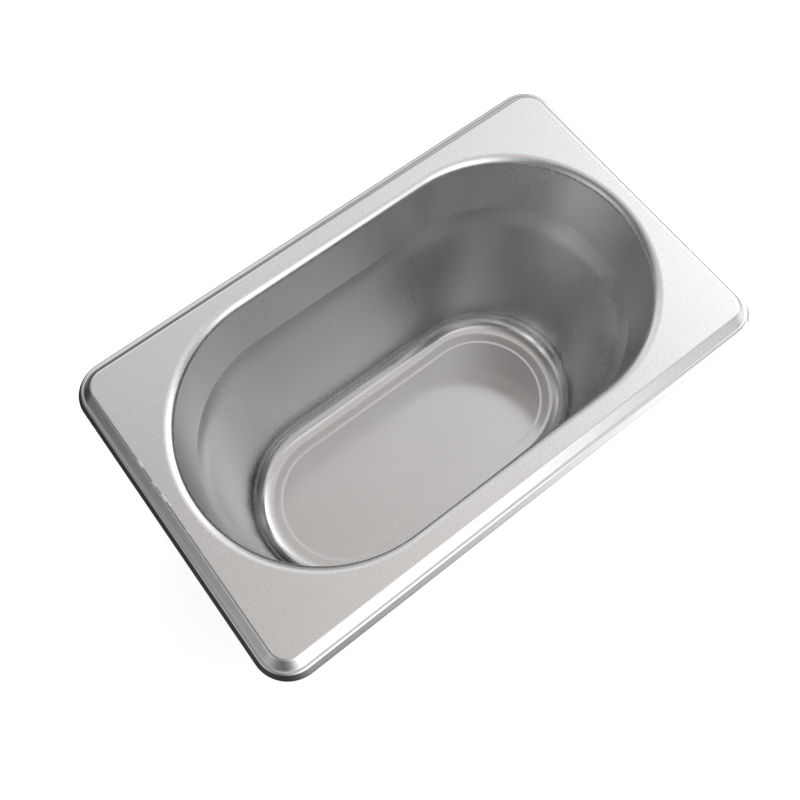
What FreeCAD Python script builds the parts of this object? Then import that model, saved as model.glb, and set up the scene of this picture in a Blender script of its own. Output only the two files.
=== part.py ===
# Small stainless-steel container pan, pressed from one sheet: a long round-ended well with a
# stacking shoulder, and a flat rectangular flange whose edge steps down into a turned skirt.
# Millimetres. Origin: centre of the footprint, on the underside of the base. +X runs along the
# long side, +Y across it, +Z up out of the well.
import FreeCAD, Part
import math
import os

# Overall size, outside the metal.
LENGTH = 176.0
WIDTH = 108.0
HEIGHT = 100.0
SHEET = 0.7                 # thickness of the pressed sheet

# Well. Its plan is a round-ended slot at every level: everything nearer than some radius to a
# straight spine along X. The radii below are to the inner surface.
SPINE_HALF = 34.2           # half the length of the spine
BASE_PANEL_RADIUS = 23.7    # flat bottom panel that the pan stands on
BASE_STEP_RADIUS = 24.7     # outer edge of the small step round that panel
BASE_STEP_RISE = 0.14
BASE_RING_RISE = 0.11       # further rise of the ring outside the step, up to the wall line
WALL_FOOT_RADIUS = 34.0     # where the wall line meets the ring line, before rounding
SHOULDER_LOW_RADIUS = 39.05
SHOULDER_LOW_DEPTH = 31.0   # below the top of the flange
SHOULDER_TOP_RADIUS = 40.6
SHOULDER_TOP_DEPTH = 24.0
MOUTH_RADIUS = 42.5         # where the wall line meets the flange, before rounding
STEP_BEND = 2.0
BASE_BEND = 7.8
SHOULDER_LOW_BEND = 60.0    # soft start of the shoulder
SHOULDER_TOP_BEND = 1.2     # crisp line where it ends
MOUTH_BEND = 2.8

# Flange rim, from the flat top out to the free edge. Distances are in from the outer edge.
CORNER_RADIUS = 10.5        # plan radius of the outer corners
RIM_FLAT = 5.8              # the rim section starts here, on the flat top
RIM_TOP_EDGE = 4.95         # end of the flat top, before rounding
LEDGE_IN = 2.42             # inner and outer ends of the narrow ledge
LEDGE_OUT = 1.45
LEDGE_IN_DROP = 2.56
LEDGE_OUT_DROP = 2.66
SKIRT_DROP = 5.15           # where the sloped skirt turns vertical
RIM_DROP = 6.2              # free edge of the sheet
TOP_EDGE_BEND = 1.3
LEDGE_IN_BEND = 0.7
LEDGE_OUT_BEND = 1.0
SKIRT_BEND = 1.0

UP = FreeCAD.Vector(0, 0, 1)


def direction(start, end):
    """Unit vector from one (distance, height) point to the next."""
    run, rise = end[0] - start[0], end[1] - start[1]
    length = math.hypot(run, rise)
    return run / length, rise / length


def offset_corners(corners, distance):
    """Corner points of the path that runs at a distance to the right of the given one."""
    ways = [direction(a, b) for a, b in zip(corners, corners[1:])]
    moved = [(corners[0][0] + distance * ways[0][1], corners[0][1] - distance * ways[0][0])]
    for corner, before, after in zip(corners[1:], ways, ways[1:]):
        turn = math.atan2(before[0] * after[1] - before[1] * after[0],
                          before[0] * after[0] + before[1] * after[1])
        slide = distance * math.tan(turn / 2)
        moved.append((corner[0] + distance * before[1] + slide * before[0],
                      corner[1] - distance * before[0] + slide * before[1]))
    moved.append((corners[-1][0] + distance * ways[-1][1], corners[-1][1] - distance * ways[-1][0]))
    return moved


def offset_bends(corners, bends, distance):
    """Bend radii of the path that offset_corners gives: left turns open out, right turns tighten."""
    ways = [direction(a, b) for a, b in zip(corners, corners[1:])]
    turns_left = [a[0] * b[1] - a[1] * b[0] > 0 for a, b in zip(ways, ways[1:])]
    return [bend + distance if left else bend - distance for bend, left in zip(bends, turns_left)]


def rounded_path(corners, bends, place):
    """Line and arc edges along the corners, with each inner corner rounded to its bend."""
    edges = []
    here = corners[0]
    for corner, after, bend in zip(corners[1:], corners[2:], bends):
        into = direction(here, corner)
        out = direction(corner, after)
        half_turn = math.acos(into[0] * out[0] + into[1] * out[1]) / 2
        reach = bend * math.tan(half_turn)
        start = (corner[0] - reach * into[0], corner[1] - reach * into[1])
        end = (corner[0] + reach * out[0], corner[1] + reach * out[1])
        bisector = direction((0, 0), (out[0] - into[0], out[1] - into[1]))
        sagitta = bend * (1 / math.cos(half_turn) - 1)
        middle = (corner[0] + sagitta * bisector[0], corner[1] + sagitta * bisector[1])
        edges.append(Part.LineSegment(place(here), place(start)).toShape())
        edges.append(Part.Arc(place(start), place(middle), place(end)).toShape())
        here = end
    edges.append(Part.LineSegment(place(here), place(corners[-1])).toShape())
    return edges


def sheet_section(corners, bends, place):
    """Face of the sheet's section: the visible surface on the corners, the other one below it."""
    under = offset_corners(corners, SHEET)
    under_bends = offset_bends(corners, bends, SHEET)
    edges = rounded_path(corners, bends, place)
    edges += rounded_path(under, under_bends, place)
    edges.append(Part.LineSegment(place(corners[0]), place(under[0])).toShape())
    edges.append(Part.LineSegment(place(corners[-1]), place(under[-1])).toShape())
    return Part.Face(Part.Wire(Part.__sortEdges__(edges)))


def make_well():
    """Base, walls, shoulder and rounded mouth, up to a narrow strip of the flat flange."""
    strip_end = MOUTH_RADIUS + MOUTH_BEND + SHEET
    corners = [
        (0, SHEET),
        (BASE_PANEL_RADIUS, SHEET),
        (BASE_STEP_RADIUS, SHEET + BASE_STEP_RISE),
        (WALL_FOOT_RADIUS, SHEET + BASE_STEP_RISE + BASE_RING_RISE),
        (SHOULDER_LOW_RADIUS, HEIGHT - SHOULDER_LOW_DEPTH),
        (SHOULDER_TOP_RADIUS, HEIGHT - SHOULDER_TOP_DEPTH),
        (MOUTH_RADIUS, HEIGHT),
        (strip_end, HEIGHT),
    ]
    bends = [STEP_BEND, STEP_BEND, BASE_BEND, SHOULDER_LOW_BEND, SHOULDER_TOP_BEND, MOUTH_BEND]
    pieces = []
    for end in (-1, 1):
        centre = FreeCAD.Vector(end * SPINE_HALF, 0, 0)
        half = sheet_section(corners, bends, lambda p: centre + FreeCAD.Vector(0, p[0], p[1]))
        pieces.append(half.revolve(centre, UP, -180 * end))
    for side in (-1, 1):
        start = FreeCAD.Vector(-SPINE_HALF, 0, 0)
        half = sheet_section(corners, bends, lambda p: start + FreeCAD.Vector(0, side * p[0], p[1]))
        pieces.append(half.extrude(FreeCAD.Vector(2 * SPINE_HALF, 0, 0)))
    return pieces, strip_end


def make_rim():
    """Stepped edge of the flange: four straight runs joined by four round corners."""
    # Listed from the free edge inwards, so that the underside lies to the right of the path.
    corners = [
        (0, HEIGHT - RIM_DROP),
        (0, HEIGHT - SKIRT_DROP),
        (LEDGE_OUT, HEIGHT - LEDGE_OUT_DROP),
        (LEDGE_IN, HEIGHT - LEDGE_IN_DROP),
        (RIM_TOP_EDGE, HEIGHT),
        (RIM_FLAT, HEIGHT),
    ]
    bends = [SKIRT_BEND, LEDGE_OUT_BEND, LEDGE_IN_BEND, TOP_EDGE_BEND]
    half_run_x = LENGTH / 2 - CORNER_RADIUS
    half_run_y = WIDTH / 2 - CORNER_RADIUS
    pieces = []
    for side in (-1, 1):
        end_run = sheet_section(corners, bends, lambda p: FreeCAD.Vector(
            side * (LENGTH / 2 - p[0]), -half_run_y, p[1]))
        pieces.append(end_run.extrude(FreeCAD.Vector(0, 2 * half_run_y, 0)))
        long_run = sheet_section(corners, bends, lambda p: FreeCAD.Vector(
            -half_run_x, side * (WIDTH / 2 - p[0]), p[1]))
        pieces.append(long_run.extrude(FreeCAD.Vector(2 * half_run_x, 0, 0)))
        for along in (-1, 1):
            centre = FreeCAD.Vector(along * half_run_x, side * half_run_y, 0)
            corner = sheet_section(corners, bends, lambda p: centre + FreeCAD.Vector(
                along * (CORNER_RADIUS - p[0]), 0, p[1]))
            pieces.append(corner.revolve(centre, UP, 90 * along * side))
    return pieces


def make_flange(strip_end):
    """Flat top of the flange, between the well's strip and the rim."""
    half_x, half_y = LENGTH / 2 - RIM_FLAT, WIDTH / 2 - RIM_FLAT
    low = HEIGHT - SHEET
    plate = Part.makeBox(2 * half_x, 2 * half_y, SHEET, FreeCAD.Vector(-half_x, -half_y, low))
    uprights = [edge for edge in plate.Edges if edge.tangentAt(edge.FirstParameter).isParallel(UP, 0.01)]
    plate = plate.makeFillet(CORNER_RADIUS - RIM_FLAT, uprights)
    mouth = [Part.makeBox(2 * SPINE_HALF, 2 * strip_end, SHEET,
                          FreeCAD.Vector(-SPINE_HALF, -strip_end, low))]
    for end in (-1, 1):
        centre = FreeCAD.Vector(end * SPINE_HALF, 0, low)
        mouth.append(Part.makeCylinder(strip_end, SHEET, centre))
    return plate.cut(mouth)


def make_pan():
    """The whole pan as one solid."""
    well, strip_end = make_well()
    pieces = well + make_rim() + [make_flange(strip_end)]
    return pieces[0].fuse(pieces[1:]).removeSplitter()


os.makedirs("parts", exist_ok=True)
pan = make_pan()
solid = pan.Solids[0]
if len(pan.Solids) != 1 or not solid.isValid():
    raise ValueError("the pan is not one valid solid")
solid.exportStep("parts/pan_body.step")
box = solid.BoundBox
print("pan_body: volume %.1f mm3, faces %d, x %.2f..%.2f y %.2f..%.2f z %.2f..%.2f" % (
    solid.Volume, len(solid.Faces), box.XMin, box.XMax, box.YMin, box.YMax, box.ZMin, box.ZMax))
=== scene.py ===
"""Pressed stainless-steel container pan on a pale floor in soft studio light."""

import math

import bpy
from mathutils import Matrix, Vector


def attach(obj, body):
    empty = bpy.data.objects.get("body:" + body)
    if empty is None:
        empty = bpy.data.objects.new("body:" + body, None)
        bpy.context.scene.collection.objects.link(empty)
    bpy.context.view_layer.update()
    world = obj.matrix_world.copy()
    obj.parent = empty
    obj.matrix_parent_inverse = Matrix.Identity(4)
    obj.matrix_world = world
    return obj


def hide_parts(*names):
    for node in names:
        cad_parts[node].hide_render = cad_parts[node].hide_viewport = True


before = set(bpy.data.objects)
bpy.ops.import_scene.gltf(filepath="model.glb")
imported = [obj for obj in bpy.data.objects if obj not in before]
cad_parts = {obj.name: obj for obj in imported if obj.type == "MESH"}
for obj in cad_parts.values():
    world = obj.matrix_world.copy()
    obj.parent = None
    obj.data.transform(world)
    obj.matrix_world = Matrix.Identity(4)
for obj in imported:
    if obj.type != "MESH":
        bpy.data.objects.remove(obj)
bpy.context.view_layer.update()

MM = 0.001

# ---------------------------------------------------------------- camera
camera_data = bpy.data.cameras.new("camera")
camera = bpy.data.objects.new("camera", camera_data)
bpy.context.scene.collection.objects.link(camera)
camera_data.sensor_width = 36.0
camera_data.lens = 38.83
camera_data.clip_start = 0.01
camera_data.clip_end = 20.0
camera.location = (-66.54 * MM, -75.66 * MM, 327.82 * MM)
camera.rotation_euler = (math.radians(20.123), math.radians(-0.185), math.radians(-37.555))
bpy.context.scene.camera = camera

# ---------------------------------------------------------------- sizes, mm, as in the CAD
LENGTH, WIDTH, HEIGHT, SHEET = 176.0, 108.0, 100.0, 0.7
SPINE_HALF = 34.2           # half the straight line that the well's plan is drawn round
STRIP_END = 46.0            # the well's section ends here, on the flat flange
CORNER_RADIUS = 10.5        # plan radius of the flange's outer corners
RIM_FLAT = 5.8              # the rim's section ends here, on the flat flange

# Section of the well's inner surface: distance from the spine, height. Each corner between the
# two ends is rounded by the next of WELL_BENDS.
WELL = [
    (0, SHEET),                     # middle of the base
    (23.7, SHEET),                  # edge of the base panel
    (24.7, SHEET + 0.14),           # outer edge of the small step round it
    (34.0, SHEET + 0.14 + 0.11),    # foot of the wall
    (39.05, HEIGHT - 31.0),         # soft start of the shoulder
    (40.6, HEIGHT - 24.0),          # crisp line where the shoulder ends
    (42.5, HEIGHT),                 # mouth
    (STRIP_END, HEIGHT),
]
WELL_BENDS = [2.0, 2.0, 7.8, 60.0, 1.2, 2.8]

# Section of the rim's outer surface: distance in from the outer edge, height.
RIM = [
    (0, HEIGHT - 6.2),              # free edge of the sheet
    (0, HEIGHT - 5.15),             # foot of the sloped skirt
    (1.45, HEIGHT - 2.66),          # outer end of the narrow ledge
    (2.42, HEIGHT - 2.56),          # inner end of the ledge
    (4.95, HEIGHT),                 # end of the flat top
    (RIM_FLAT, HEIGHT),
]
RIM_BENDS = [1.0, 1.0, 0.7, 1.3]

# Fineness of the mesh.
LONGEST_SPAN = 4.0                  # along a straight stretch of a section, mm
BEND_STEP = math.radians(7)
FEWEST_BEND_STEPS = 3
END_STEPS = 96                      # round each end of the well
CORNER_STEPS = 20                   # round each corner of the rim
SIDE_STEPS = 24                     # along each straight side of either plan


# ---------------------------------------------------------------- sections and plans
def unit(a, b):
    """Unit vector from one point of a section to another."""
    run, rise = b[0] - a[0], b[1] - a[1]
    size = math.hypot(run, rise)
    return run / size, rise / size


def offset(corners, bends, distance):
    """The path that runs at a distance to the right of the given one, and its bends."""
    ways = [unit(a, b) for a, b in zip(corners, corners[1:])]
    moved = [(corners[0][0] + distance * ways[0][1], corners[0][1] - distance * ways[0][0])]
    radii = []
    for corner, bend, before, after in zip(corners[1:], bends, ways, ways[1:]):
        cross = before[0] * after[1] - before[1] * after[0]
        turn = math.atan2(cross, before[0] * after[0] + before[1] * after[1])
        slide = distance * math.tan(turn / 2)
        moved.append((corner[0] + distance * before[1] + slide * before[0],
                      corner[1] - distance * before[0] + slide * before[1]))
        radii.append(bend + distance if cross > 0 else bend - distance)
    moved.append((corners[-1][0] + distance * ways[-1][1],
                  corners[-1][1] - distance * ways[-1][0]))
    return moved, radii


def section(corners, bends):
    """Points and left-hand normals along the corners, with each bend rounded."""
    found = []

    def add(point, way):
        found.append((point[0], point[1], -way[1], way[0]))

    def add_straight(start, end, way):
        """Every point after the start, the end included."""
        run = math.hypot(end[0] - start[0], end[1] - start[1])
        spans = max(1, math.ceil(run / LONGEST_SPAN))
        for i in range(1, spans + 1):
            k = i / spans
            add((start[0] + k * (end[0] - start[0]), start[1] + k * (end[1] - start[1])), way)

    here = corners[0]
    way = unit(corners[0], corners[1])
    add(here, way)
    for corner, after, bend in zip(corners[1:], corners[2:], bends):
        out = unit(corner, after)
        turn = math.atan2(way[0] * out[1] - way[1] * out[0], way[0] * out[0] + way[1] * out[1])
        reach = bend * math.tan(abs(turn) / 2)
        start = (corner[0] - reach * way[0], corner[1] - reach * way[1])
        add_straight(here, start, way)
        side = math.copysign(1, turn)
        centre = (start[0] - side * bend * way[1], start[1] + side * bend * way[0])
        steps = max(FEWEST_BEND_STEPS, math.ceil(abs(turn) / BEND_STEP))
        for i in range(1, steps + 1):
            angle = turn * i / steps
            now = (way[0] * math.cos(angle) - way[1] * math.sin(angle),
                   way[0] * math.sin(angle) + way[1] * math.cos(angle))
            add((centre[0] + side * bend * now[1], centre[1] - side * bend * now[0]), now)
        here, way = (corner[0] + reach * out[0], corner[1] + reach * out[1]), out
    add_straight(here, corners[-1], way)
    return found


def slot_plan(r):
    """Points and outward normals of the well's plan, at a distance from its spine along X."""
    found = []
    for end in (1, -1):
        for i in range(END_STEPS + 1):
            angle = math.pi * (i / END_STEPS - end / 2)
            nx, ny = math.cos(angle), math.sin(angle)
            found.append((end * SPINE_HALF + r * nx, r * ny, nx, ny))
        for i in range(1, SIDE_STEPS):
            k = i / SIDE_STEPS
            found.append((end * SPINE_HALF * (1 - 2 * k), end * r, 0.0, float(end)))
    return found


def rim_plan(r):
    """Points and outward normals of the rim's plan, at a distance in from its outer edge."""
    hx, hy = LENGTH / 2 - CORNER_RADIUS, WIDTH / 2 - CORNER_RADIUS
    corners = [(hx, -hy, -90), (hx, hy, 0), (-hx, hy, 90), (-hx, -hy, 180)]
    radius = CORNER_RADIUS - r
    found = []
    for (cx, cy, start), (next_x, next_y, _) in zip(corners, corners[1:] + corners[:1]):
        for i in range(CORNER_STEPS + 1):
            angle = math.radians(start + 90 * i / CORNER_STEPS)
            nx, ny = math.cos(angle), math.sin(angle)
            found.append((cx + radius * nx, cy + radius * ny, nx, ny))
        for i in range(1, SIDE_STEPS):
            k = i / SIDE_STEPS
            found.append((cx + k * (next_x - cx) + radius * nx,
                          cy + k * (next_y - cy) + radius * ny, nx, ny))
    return found


# ---------------------------------------------------------------- pan
class Shell:
    """Vertices, normals and faces of the pan as rings are laid one after another."""

    def __init__(self):
        self.points, self.normals, self.faces = [], [], []

    def ring(self, plan, r, z, nr, nz):
        """One closed ring at a distance and height, with its normals' outward and upward parts."""
        first = len(self.points)
        for x, y, nx, ny in plan(r):
            self.points.append((x * MM, y * MM, z * MM))
            self.normals.append((nx * nr, ny * nr, nz))
        return list(range(first, len(self.points)))

    def lay(self, plan, entries, side, outward):
        """A ring for each entry. side is 1 on top of the sheet and -1 under it, and outward is -1
        where the plan's distance runs inwards."""
        return [self.ring(plan, r, z, side * outward * nr, side * nz) for r, z, nr, nz in entries]

    def bridge(self, a, b):
        """Quads between two rings with the same count."""
        n = len(a)
        for i in range(n):
            j = (i + 1) % n
            self.faces.append((a[i], a[j], b[j], b[i]))

    def round_centre(self, ring):
        """A ring's angles round the centre in rising order, and its vertices in that order. Both
        end one whole turn after the first."""
        turns = {i: math.atan2(self.points[i][1], self.points[i][0]) for i in ring}
        order = sorted(ring, key=turns.get)
        return [turns[i] for i in order] + [turns[order[0]] + 2 * math.pi], order + order[:1]

    def stitch(self, inner, outer, up):
        """Triangles between two rings of any counts, by the angle round the centre."""
        a, p = self.round_centre(inner)
        b, q = self.round_centre(outer)
        i = j = 0
        while i < len(p) - 1 or j < len(q) - 1:
            if j == len(q) - 1 or (i < len(p) - 1 and a[i + 1] <= b[j + 1]):
                face = (p[i], q[j], p[i + 1])
                i += 1
            else:
                face = (p[i], q[j], q[j + 1])
                j += 1
            self.faces.append(face if up else face[::-1])


def build_pan():
    """The whole sheet as one closed mesh: its top side, its underside and its cut edge."""
    shell = Shell()

    top = shell.lay(slot_plan, section(WELL, WELL_BENDS)[1:], 1, 1)
    shell.faces.append(tuple(top[0]))
    for a, b in zip(top, top[1:]):
        shell.bridge(b, a)
    rim_top = shell.lay(rim_plan, section(RIM, RIM_BENDS), 1, -1)
    for a, b in zip(rim_top, rim_top[1:]):
        shell.bridge(a, b)
    shell.stitch(top[-1], rim_top[-1], True)

    low = shell.lay(slot_plan, section(*offset(WELL, WELL_BENDS, SHEET))[1:], -1, 1)
    shell.faces.append(tuple(reversed(low[0])))
    for a, b in zip(low, low[1:]):
        shell.bridge(a, b)
    rim_low = shell.lay(rim_plan, section(*offset(RIM, RIM_BENDS, SHEET)), -1, -1)
    for a, b in zip(rim_low, rim_low[1:]):
        shell.bridge(b, a)
    shell.stitch(low[-1], rim_low[-1], False)

    # The cut edge of the sheet is a flat strip that faces down, with crisp borders.
    first_cut = len(shell.faces)
    shell.bridge(rim_low[0], rim_top[0])

    mesh = bpy.data.meshes.new("pan")
    mesh.from_pydata(shell.points, [], shell.faces)
    mesh.update()
    mesh.polygons.foreach_set("use_smooth", [True] * len(mesh.polygons))
    normals = [Vector(normal).normalized() for normal in shell.normals]
    down = Vector((0, 0, -1))
    mesh.normals_split_custom_set([
        down if face.index >= first_cut else normals[v]
        for face in mesh.polygons for v in face.vertices])
    pan = bpy.data.objects.new("pan", mesh)
    bpy.context.scene.collection.objects.link(pan)
    return pan


pan = build_pan()
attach(pan, "root")
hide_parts("pan_body")


# ---------------------------------------------------------------- shader graphs
class Graph:
    """Short way to lay shader nodes: a value that is a socket is linked, any other is set."""

    def __init__(self, tree):
        self.tree = tree

    def add(self, kind, values=(), **settings):
        node = self.tree.nodes.new(kind)
        for name, value in settings.items():
            setattr(node, name, value)
        for key, value in dict(values).items():
            if isinstance(value, bpy.types.NodeSocket):
                self.tree.links.new(value, node.inputs[key])
            else:
                node.inputs[key].default_value = value
        return node

    def maths(self, operation, *values):
        return self.add("ShaderNodeMath", enumerate(values), operation=operation).outputs[0]

    def ramp(self, value, low, high, start, end):
        """A smooth step from start to end while the value goes from low to high."""
        return self.add("ShaderNodeMapRange", {
            "Value": value, "From Min": low, "From Max": high, "To Min": start, "To Max": end,
        }, interpolation_type="SMOOTHSTEP").outputs["Result"]

    def noise(self, position, scale, detail, stretch=(1, 1, 1), shift=(0, 0, 0)):
        """Noise between 0 and 1, its features drawn out along the axes with a small stretch."""
        moved = self.add("ShaderNodeMapping", {
            "Vector": position, "Location": shift, "Scale": stretch}).outputs[0]
        return self.add("ShaderNodeTexNoise", {
            "Vector": moved, "Scale": scale, "Detail": detail, "Roughness": 0.5}).outputs[0]

    def swing(self, noise, amount, middle=0.0):
        """A noise turned into a number that strays from the middle by up to the amount."""
        return self.ramp(noise, 0.3, 0.7, middle - amount, middle + amount)

    def distance(self, coordinate, middle):
        """How far a coordinate is from a line across it."""
        return self.maths("ABSOLUTE", self.maths("SUBTRACT", coordinate, middle))


# ---------------------------------------------------------------- steel
STEEL = (0.74, 0.738, 0.735)       # reflectance of the clean sheet
BASE_SHADE = 0.83                   # painted shade: the base at the bottom of the well, and its underside, is this much darker
BASE_ROUGH, WALL_ROUGH, FLANGE_ROUGH, RIM_ROUGH = 0.11, 0.30, 0.25, 0.13
RIM_IN = 5.4                       # the rim's smoother steel starts here, in from the outer edge
NICK_AND_GLINT_X, NICK_AND_GLINT_Y = -82.7, 5.0        # middle of the run of nicks and their painted highlight, mm
NICK_AND_GLINT_MOVE = 18.0                   # how far along Y the pattern is moved to bring the nicks and their painted highlight there, mm
NICK_AND_GLINT_STRETCH = 0.6
RELIEF = 0.0000008                 # height of the flange's relief, metres

steel = bpy.data.materials.new("stainless_sheet")
steel.use_nodes = True
graph = Graph(steel.node_tree)
shader = next(n for n in steel.node_tree.nodes if n.type == "BSDF_PRINCIPLED")
shader.inputs["Metallic"].default_value = 1.0

# Areas of the pan, each 1 inside and 0 outside.
place = graph.add("ShaderNodeTexCoord").outputs["Object"]
split = graph.add("ShaderNodeSeparateXYZ", {"Vector": place}).outputs
across, beside, height = split["X"], split["Y"], split["Z"]
above_base = graph.ramp(height, 1.0 * MM, 7.0 * MM, 0.0, 1.0)
on_flange = graph.ramp(height, 97.0 * MM, 99.8 * MM, 0.0, 1.0)
on_wall = graph.maths("SUBTRACT", above_base, on_flange)
past_rim_line = graph.maths(
    "MAXIMUM",
    graph.maths("SUBTRACT", graph.maths("ABSOLUTE", across), (LENGTH / 2 - RIM_IN) * MM),
    graph.maths("SUBTRACT", graph.maths("ABSOLUTE", beside), (WIDTH / 2 - RIM_IN) * MM))
on_rim = graph.ramp(past_rim_line, 0.0, 1.5 * MM, 0.0, 1.0)

# Marks of the mill and the press: fine grain, soft clouds, lines drawn down the walls and lines
# rolled along the flange.
grain = graph.noise(place, 1500.0, 3.0)
cloud = graph.noise(place, 28.0, 3.0, shift=(1, 5, 2))
drawn = graph.noise(place, 420.0, 3.0, stretch=(1, 1, 0.03), shift=(2, 7, 4))
rolled = graph.noise(place, 700.0, 3.0, stretch=(0.03, 1, 1), shift=(4, 3, 9))

# Wear: short scratches along the left end of the flange.
long_marks = graph.noise(place, 900.0, 2.0, stretch=(1, 0.07, 1), shift=(8, 1, 6))
left_end = graph.ramp(across, -86.0 * MM, -76.0 * MM, 1.0, 0.0)
worn = graph.maths("MULTIPLY", left_end, on_flange)
scratch = graph.maths("MULTIPLY", graph.ramp(long_marks, 0.69, 0.76, 0.0, 1.0), worn)

# Nicks where the left end of the flange has been knocked: dents in the relief and rougher steel, and
# a painted highlight, as they are also painted lighter.
nick_and_glint_line = graph.ramp(graph.distance(across, NICK_AND_GLINT_X * MM), 0.1 * MM, 0.7 * MM, 1.0, 0.0)
nick_and_glint_run = graph.ramp(graph.distance(beside, NICK_AND_GLINT_Y * MM), 14.0 * MM, 20.0 * MM, 1.0, 0.0)
nick_and_glint_noise = graph.noise(place, 330.0, 3.0, stretch=(1, NICK_AND_GLINT_STRETCH, 1),
                         shift=(3, 8 - NICK_AND_GLINT_STRETCH * NICK_AND_GLINT_MOVE * MM, 5))
nick_and_glint_spots = graph.ramp(nick_and_glint_noise, 0.53, 0.58, 0.0, 1.0)
nicks_and_glints = graph.maths("MULTIPLY", graph.maths("MULTIPLY", nick_and_glint_line, nick_and_glint_run),
                    graph.maths("MULTIPLY", nick_and_glint_spots, on_flange))

# Roughness: one value for each area, then the marks.
rough = graph.maths("MULTIPLY_ADD", above_base, WALL_ROUGH - BASE_ROUGH, BASE_ROUGH)
rough = graph.maths("MULTIPLY_ADD", on_flange, FLANGE_ROUGH - WALL_ROUGH, rough)
rough = graph.maths("MULTIPLY_ADD", on_rim, RIM_ROUGH - FLANGE_ROUGH, rough)
rough = graph.maths("ADD", rough, graph.swing(cloud, 0.02))
rough = graph.maths("ADD", rough, graph.swing(grain, 0.012))
rough = graph.maths("ADD", rough, graph.maths("MULTIPLY", graph.swing(drawn, 0.01), on_wall))
rough = graph.maths("MULTIPLY_ADD", scratch, 0.2, rough)
rough = graph.maths("MULTIPLY_ADD", nicks_and_glints, 0.3, rough)
steel.node_tree.links.new(rough, shader.inputs["Roughness"])

# Tone: 1 is the clean sheet. The grain is weaker on the walls.
grain_share = graph.maths("MULTIPLY_ADD", on_wall, -0.75, 1.0)
tone = graph.maths("MULTIPLY_ADD", graph.ramp(grain, 0.25, 0.75, -0.05, 0.05), grain_share, 1.0)
tone = graph.maths("MULTIPLY", tone, graph.swing(cloud, 0.015, 1.0))
# painted shade: the sheet is painted darker at the bottom of the well and under the base
tone = graph.maths("MULTIPLY", tone, graph.ramp(height, 0.8 * MM, 2.5 * MM, BASE_SHADE, 1.0))
tone = graph.maths("ADD", tone, graph.maths("MULTIPLY", graph.swing(drawn, 0.012), on_wall))
tone = graph.maths("ADD", tone, graph.maths("MULTIPLY", graph.swing(rolled, 0.008), on_flange))
tone = graph.maths("MULTIPLY_ADD", scratch, 0.12, tone)
# painted highlight: the nicks are painted much lighter, standing in for their glint along the left
# edge of the flat flange
tone = graph.maths("MULTIPLY_ADD", nicks_and_glints, 0.35, tone)
toned = graph.add("ShaderNodeVectorMath", {0: STEEL, "Scale": tone}, operation="SCALE").outputs[0]
steel.node_tree.links.new(toned, shader.inputs["Base Color"])

# Relief: grain and rolled lines on the flange, and the wear cut into it.
relief = graph.maths("MULTIPLY_ADD", grain, 0.4, graph.maths("MULTIPLY", rolled, 0.3))
relief = graph.maths("MULTIPLY", relief, on_flange)
relief = graph.maths("MULTIPLY_ADD", scratch, -3.0, relief)
relief = graph.maths("MULTIPLY_ADD", nicks_and_glints, -15.0, relief)
bump = graph.add("ShaderNodeBump", {"Strength": 1.0, "Distance": RELIEF, "Height": relief})
steel.node_tree.links.new(bump.outputs[0], shader.inputs["Normal"])
pan.data.materials.append(steel)

# ---------------------------------------------------------------- floor
FLOOR_HALF = 3.0                   # metres

mesh = bpy.data.meshes.new("floor")
mesh.from_pydata([(-FLOOR_HALF, -FLOOR_HALF, 0), (FLOOR_HALF, -FLOOR_HALF, 0),
                  (FLOOR_HALF, FLOOR_HALF, 0), (-FLOOR_HALF, FLOOR_HALF, 0)], [], [(0, 1, 2, 3)])
floor = bpy.data.objects.new("floor", mesh)
bpy.context.scene.collection.objects.link(floor)
pale = bpy.data.materials.new("pale_floor")
pale.use_nodes = True
paint = next(n for n in pale.node_tree.nodes if n.type == "BSDF_PRINCIPLED")
paint.inputs["Base Color"].default_value = (0.9, 0.9, 0.9, 1.0)
paint.inputs["Roughness"].default_value = 0.9
paint.inputs["Emission Color"].default_value = (1.0, 1.0, 1.0, 1.0)
paint.inputs["Emission Strength"].default_value = 0.45
mesh.materials.append(pale)
floor.visible_glossy = False       # the steel sees the sky's lower half in its place

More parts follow.
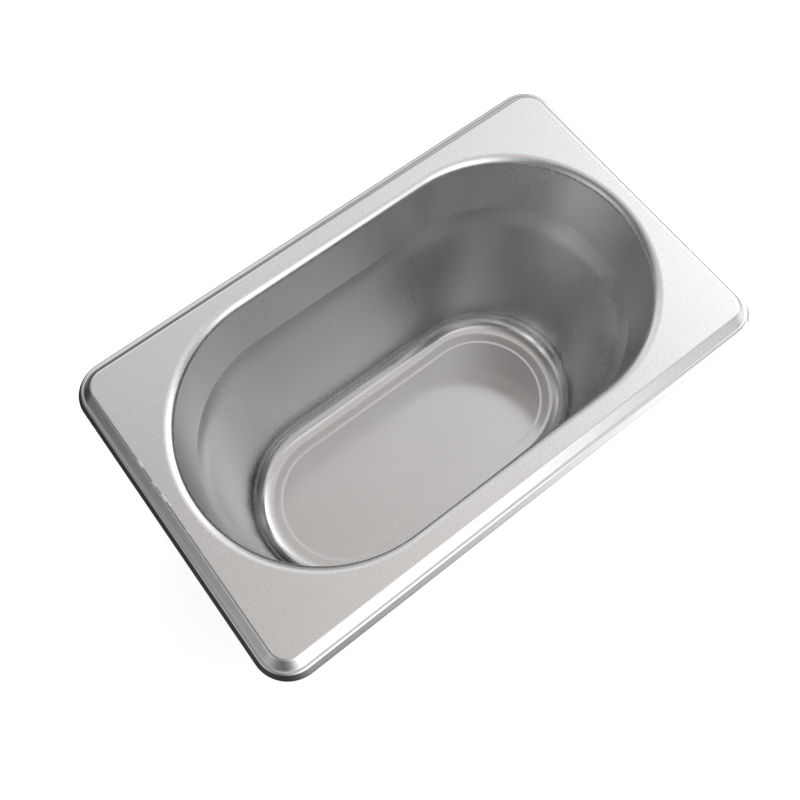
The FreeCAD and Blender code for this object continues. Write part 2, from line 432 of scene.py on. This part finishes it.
# ---------------------------------------------------------------- light
# A plain studio rig of equally soft lights, turned by whole steps of 45 degrees. Each one: turn
# from +X and height angle in degrees, brightness, colour.
WHITE, WARM = (1.0, 1.0, 1.0), (1.0, 0.94, 0.92)
SOFT_LIGHTS = [
    (0, 15, 2.5, WHITE), (90, 15, 0.8, WHITE), (180, 15, 0.8, WHITE), (270, 15, 2.0, WHITE),
    (0, 45, 1.0, WHITE), (45, 45, 0.5, WHITE), (90, 45, 0.5, WHITE), (270, 45, 1.0, WHITE),
    (315, -30, 2.0, WHITE), (45, -30, 0.8, WHITE),
    (90, 90, 0.6, WARM),
]
SHARPNESS = 10.0                   # a light fades as exp(SHARPNESS * (cosine - 1)) off its middle
AMBIENT = 0.02

world = bpy.data.worlds.new("studio")
world.use_nodes = True
bpy.context.scene.world = world
graph = Graph(world.node_tree)
glow = world.node_tree.nodes["Background"]
heading = graph.add("ShaderNodeVectorMath", {
    0: graph.add("ShaderNodeTexCoord").outputs["Generated"]}, operation="NORMALIZE").outputs[0]
total = (AMBIENT, AMBIENT, AMBIENT)
for turn, lift, brightness, colour in SOFT_LIGHTS:
    turn, lift = math.radians(turn), math.radians(lift)
    towards = (math.cos(lift) * math.cos(turn), math.cos(lift) * math.sin(turn), math.sin(lift))
    facing = graph.add("ShaderNodeVectorMath", {0: heading, 1: towards},
                       operation="DOT_PRODUCT").outputs["Value"]
    fall = graph.maths("EXPONENT", graph.maths("MULTIPLY_ADD", facing, SHARPNESS, -SHARPNESS))
    full = tuple(brightness * part for part in colour)
    light = graph.add("ShaderNodeVectorMath", {0: full, "Scale": fall}, operation="SCALE").outputs[0]
    total = graph.add("ShaderNodeVectorMath", {0: light, 1: total}, operation="ADD").outputs[0]
world.node_tree.links.new(total, glow.inputs["Color"])

# The camera itself sees a white backdrop.
backdrop = graph.add("ShaderNodeBackground", {"Color": (1, 1, 1, 1), "Strength": 1.0})
seen = graph.add("ShaderNodeLightPath").outputs["Is Camera Ray"]
either = graph.add("ShaderNodeMixShader", {
    0: seen, 1: glow.outputs[0], 2: backdrop.outputs[0]}).outputs[0]
world.node_tree.links.new(either, world.node_tree.nodes["World Output"].inputs["Surface"])
bpy.context.scene.view_settings.view_transform = "Standard"
